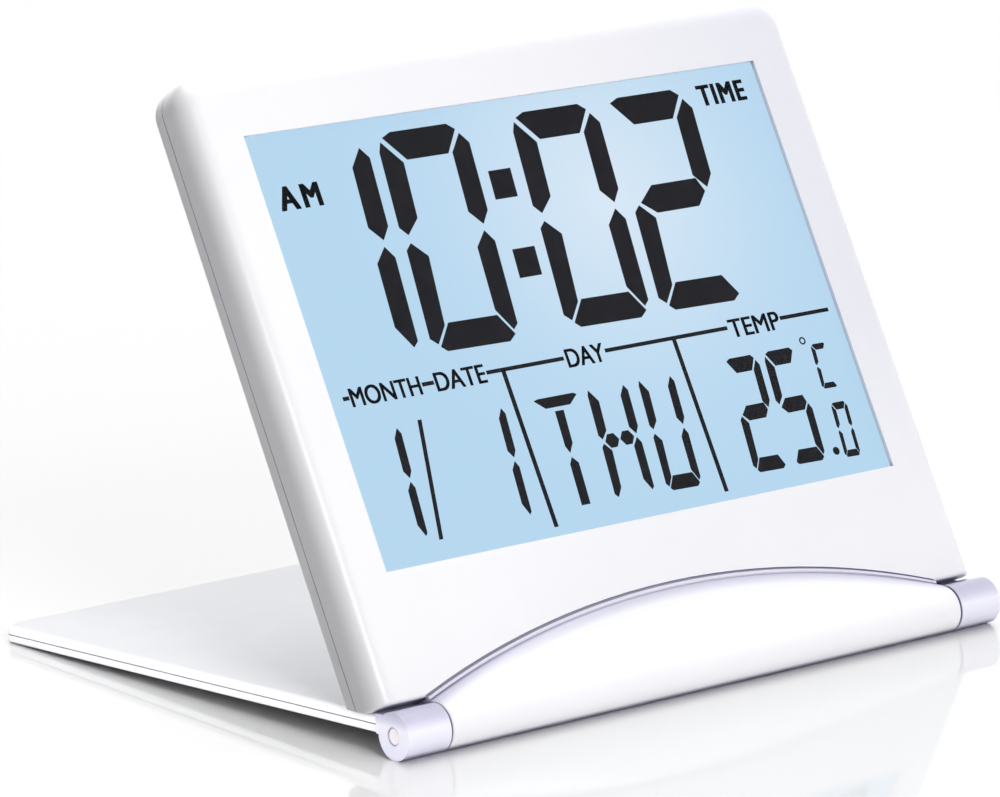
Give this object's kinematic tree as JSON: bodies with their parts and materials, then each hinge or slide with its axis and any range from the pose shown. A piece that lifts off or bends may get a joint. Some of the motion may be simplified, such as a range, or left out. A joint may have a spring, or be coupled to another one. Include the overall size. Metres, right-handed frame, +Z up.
{
  "type": "folding travel alarm clock",
  "caption": "Thin folding travel clock: a wide lit LCD with time, date, weekday and temperature in a white body, hinged to a flat flap that is its stand and cover.",
  "frame": {"origin": "centre of the footprint of the open clock, on the surface it stands on", "axes": "+X along the hinge to the right as the display is read, +Y from the display towards the back, +Z up"},
  "size_m": [0.1104, 0.1008, 0.0885],
  "materials": {
    "case_white": "satin pearl white moulded plastic",
    "flap_white": "satin white moulded plastic",
    "hinge_silver": "satin silver-lavender moulded plastic",
    "window_clear": "clear polished acrylic",
    "tape_black": "black foam adhesive tape",
    "lcd_glass": "liquid crystal cell, pale blue when lit",
    "polariser_film": "grey polarising film",
    "light_guide_acrylic": "clear acrylic light guide",
    "reflector_white": "white plastic",
    "led_blue": "pale blue LED package",
    "conductive_rubber": "layered conductive rubber",
    "board_green": "green solder mask over glass epoxy",
    "resin_black": "black epoxy resin",
    "switch_black": "black moulded plastic",
    "steel_bright": "plain nickel-plated steel",
    "sounder_brass": "brass disc with a white ceramic face",
    "button_grey": "satin silver-grey plastic",
    "cover_white": "satin white moulded plastic"
  },
  "bodies": {
    "display_body": {"front_housing": "case_white", "rear_housing": "case_white", "hinge_cover": "case_white", "display_window": "window_clear", "window_tape": "tape_black", "lcd_panel": "lcd_glass", "lcd_front_polariser": "polariser_film", "lcd_rear_polariser": "polariser_film", "light_guide": "light_guide_acrylic", "reflector_sheet": "reflector_white", "lcd_frame": "reflector_white", "backlight_leds": "led_blue", "zebra_strip": "conductive_rubber", "circuit_board": "board_green", "clock_chip": "resin_black", "board_parts": "resin_black", "thermistor": "resin_black", "snooze_switch": "switch_black", "alarm_switch": "switch_black", "quartz_crystal": "steel_bright", "coin_cell": "steel_bright", "positive_contact": "steel_bright", "negative_contact": "steel_bright", "button_switches": "steel_bright", "case_screws": "steel_bright", "board_screws": "steel_bright", "hinge_cover_screws": "steel_bright", "sounder_contacts": "steel_bright", "piezo_sounder": "sounder_brass"},
    "flap": {"flap_upper_plate": "flap_white", "flap_lower_plate": "flap_white", "knuckle_left": "hinge_silver", "knuckle_right": "hinge_silver", "hinge_pin_left": "steel_bright", "hinge_pin_right": "steel_bright"},
    "mode_button_body": {"mode_button": "button_grey"},
    "set_button_body": {"set_button": "button_grey"},
    "up_button_body": {"up_button": "button_grey"},
    "down_button_body": {"down_button": "button_grey"},
    "snooze_key_body": {"snooze_key": "button_grey"},
    "alarm_slider_body": {"alarm_slider": "button_grey"},
    "battery_cover_body": {"battery_cover": "cover_white"}
  },
  "joints": [
    {"name": "flap_hinge", "type": "hinge", "parent": "display_body", "child": "flap", "pos_m": [0, -0.04697, 0.0034], "axis": [-1, 0, 0], "range_deg": [0, 295]},
    {"name": "mode_button_press", "type": "slide", "parent": "display_body", "child": "mode_button_body", "axis": [0, -0.891, 0.454], "range_m": [0, 0.0004], "stiffness_N_per_m": 500},
    {"name": "set_button_press", "type": "slide", "parent": "display_body", "child": "set_button_body", "axis": [0, -0.891, 0.454], "range_m": [0, 0.0004], "stiffness_N_per_m": 500},
    {"name": "up_button_press", "type": "slide", "parent": "display_body", "child": "up_button_body", "axis": [0, -0.891, 0.454], "range_m": [0, 0.0004], "stiffness_N_per_m": 500},
    {"name": "down_button_press", "type": "slide", "parent": "display_body", "child": "down_button_body", "axis": [0, -0.891, 0.454], "range_m": [0, 0.0004], "stiffness_N_per_m": 500},
    {"name": "snooze_key_press", "type": "slide", "parent": "display_body", "child": "snooze_key_body", "axis": [0, -0.454, -0.891], "range_m": [0, 0.0004], "stiffness_N_per_m": 500},
    {"name": "alarm_slide", "type": "slide", "parent": "display_body", "child": "alarm_slider_body", "axis": [1, 0, 0], "range_m": [0, 0.0031]},
    {"name": "battery_cover_turn", "type": "hinge", "parent": "display_body", "child": "battery_cover_body", "pos_m": [-0.027, -0.02495, 0.02922], "axis": [0, 0.891, -0.454], "range_deg": [0, 90]}
  ]
}
